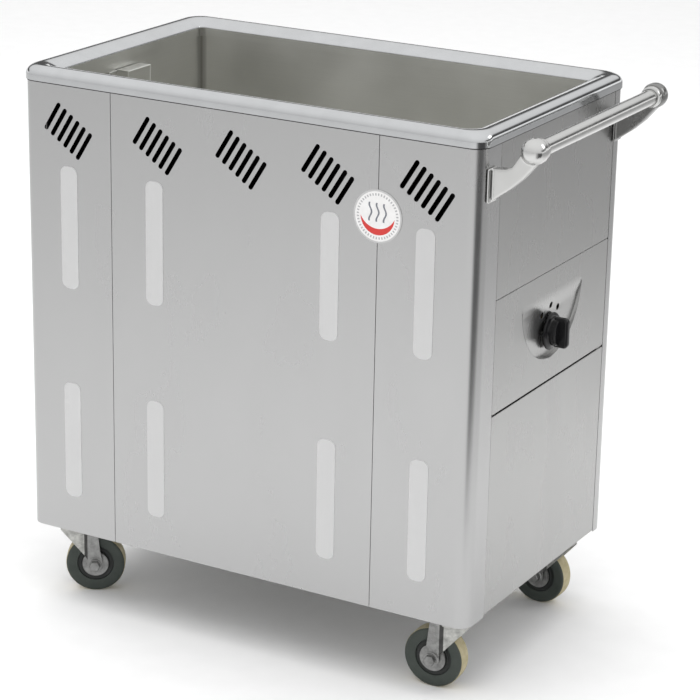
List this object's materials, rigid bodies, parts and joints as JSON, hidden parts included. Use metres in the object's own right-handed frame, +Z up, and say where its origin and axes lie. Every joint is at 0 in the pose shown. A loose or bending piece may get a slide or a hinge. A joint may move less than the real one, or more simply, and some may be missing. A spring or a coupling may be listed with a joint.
{
  "type": "steam table unit",
  "caption": "Wheeled gas heated steam table: open water well in a louvred stainless cabinet with push handle, control knob, access door and swivel casters.",
  "frame": {"origin": "on the floor, below the middle of the object's overall length and depth", "axes": "+X towards the handle and control end, -Y towards the front face with the label, +Z up"},
  "size_m": [0.9054, 0.5036, 0.9094],
  "materials": {
    "steel_satin": "satin",
    "rim_polished": "polished",
    "well_steel": "satin",
    "zinc_steel": "zinc plated",
    "burner_iron": "matte",
    "brass": "machined",
    "tyre_rubber": "matte",
    "knob_black": "gloss",
    "label_white": "satin",
    "catch_plastic": "matte"
  },
  "bodies": {
    "cabinet": {"front_center_panel": "steel_satin", "front_left_panel": "steel_satin", "front_right_panel": "steel_satin", "rear_center_panel": "steel_satin", "rear_left_panel": "steel_satin", "rear_right_panel": "steel_satin", "left_end_panel": "steel_satin", "right_upper_panel": "steel_satin", "control_panel": "steel_satin", "top_rim": "rim_polished", "handle_tube": "rim_polished", "handle_bracket_front": "rim_polished", "handle_bracket_rear": "rim_polished", "well_tank": "well_steel", "overflow_guard": "well_steel", "base_pan": "zinc_steel", "heat_tray": "zinc_steel", "corner_post_front_left": "zinc_steel", "corner_post_front_right": "zinc_steel", "corner_post_rear_left": "zinc_steel", "corner_post_rear_right": "zinc_steel", "burner_crossbar_left": "zinc_steel", "burner_crossbar_right": "zinc_steel", "door_hinge_upper": "zinc_steel", "door_hinge_lower": "zinc_steel", "drain_pipe": "zinc_steel", "caster_plate_front_right": "zinc_steel", "caster_plate_rear_right": "zinc_steel", "caster_plate_front_left": "zinc_steel", "caster_plate_rear_left": "zinc_steel", "burner_front": "burner_iron", "burner_rear": "burner_iron", "gas_manifold": "brass", "gas_valve": "brass", "gas_supply_pipe": "brass", "drain_valve": "brass", "label_disc": "label_white", "door_catch": "catch_plastic"},
    "door": {"access_door": "steel_satin", "door_knuckle_upper": "zinc_steel", "door_knuckle_lower": "zinc_steel"},
    "stem": {"valve_stem": "zinc_steel"},
    "knob": {"control_knob": "knob_black"},
    "drain_lever": {"drain_lever": "steel_satin"},
    "fork_front_right": {"caster_fork_front_right": "zinc_steel", "axle_bolt_front_right": "zinc_steel"},
    "wheel_front_right": {"tyre_front_right": "tyre_rubber", "wheel_hub_front_right": "zinc_steel"},
    "fork_rear_right": {"caster_fork_rear_right": "zinc_steel", "axle_bolt_rear_right": "zinc_steel"},
    "wheel_rear_right": {"tyre_rear_right": "tyre_rubber", "wheel_hub_rear_right": "zinc_steel"},
    "fork_front_left": {"caster_fork_front_left": "zinc_steel", "axle_bolt_front_left": "zinc_steel"},
    "wheel_front_left": {"tyre_front_left": "tyre_rubber", "wheel_hub_front_left": "zinc_steel"},
    "fork_rear_left": {"caster_fork_rear_left": "zinc_steel", "axle_bolt_rear_left": "zinc_steel"},
    "wheel_rear_left": {"tyre_rear_left": "tyre_rubber", "wheel_hub_rear_left": "zinc_steel"}
  },
  "joints": [
    {"name": "door_swing", "type": "hinge", "parent": "cabinet", "child": "door", "pos_m": [0.36275, 0.2, 0.302], "axis": [0, 0, 1], "range_deg": [0, 110]},
    {"name": "knob_push", "type": "slide", "parent": "cabinet", "child": "stem", "axis": [-1, 0, 0], "range_m": [0, 0.002], "stiffness_N_per_m": 1500},
    {"name": "knob_turn", "type": "hinge", "parent": "stem", "child": "knob", "pos_m": [0.37875, 0.012, 0.542], "axis": [1, 0, 0], "range_deg": [0, 180]},
    {"name": "drain_lever_turn", "type": "hinge", "parent": "cabinet", "child": "drain_lever", "pos_m": [0.22725, 0.15, 0.304], "axis": [1, 0, 0], "range_deg": [0, 90]},
    {"name": "swivel_front_right", "type": "hinge", "parent": "cabinet", "child": "fork_front_right", "pos_m": [0.31875, -0.187, 0.117], "axis": [0, 0, 1], "continuous": true},
    {"name": "wheel_spin_front_right", "type": "hinge", "parent": "fork_front_right", "child": "wheel_front_right", "pos_m": [0.28781, -0.189, 0.04969], "axis": [0.0645, -0.9979, 0], "continuous": true},
    {"name": "swivel_rear_right", "type": "hinge", "parent": "cabinet", "child": "fork_rear_right", "pos_m": [0.31875, 0.187, 0.117], "axis": [0, 0, 1], "continuous": true},
    {"name": "wheel_spin_rear_right", "type": "hinge", "parent": "fork_rear_right", "child": "wheel_rear_right", "pos_m": [0.28777, 0.18808, 0.04969], "axis": [-0.0349, -0.9994, 0], "continuous": true},
    {"name": "swivel_front_left", "type": "hinge", "parent": "cabinet", "child": "fork_front_left", "pos_m": [-0.40125, -0.187, 0.117], "axis": [0, 0, 1], "continuous": true},
    {"name": "wheel_spin_front_left", "type": "hinge", "parent": "fork_front_left", "child": "wheel_front_left", "pos_m": [-0.37454, -0.17127, 0.04969], "axis": [-0.5075, 0.8616, 0], "continuous": true},
    {"name": "swivel_rear_left", "type": "hinge", "parent": "cabinet", "child": "fork_rear_left", "pos_m": [-0.40125, 0.187, 0.117], "axis": [0, 0, 1], "continuous": true},
    {"name": "wheel_spin_rear_left", "type": "hinge", "parent": "fork_rear_left", "child": "wheel_rear_left", "pos_m": [-0.37212, 0.1976, 0.04969], "axis": [-0.342, 0.9397, 0], "continuous": true}
  ]
}
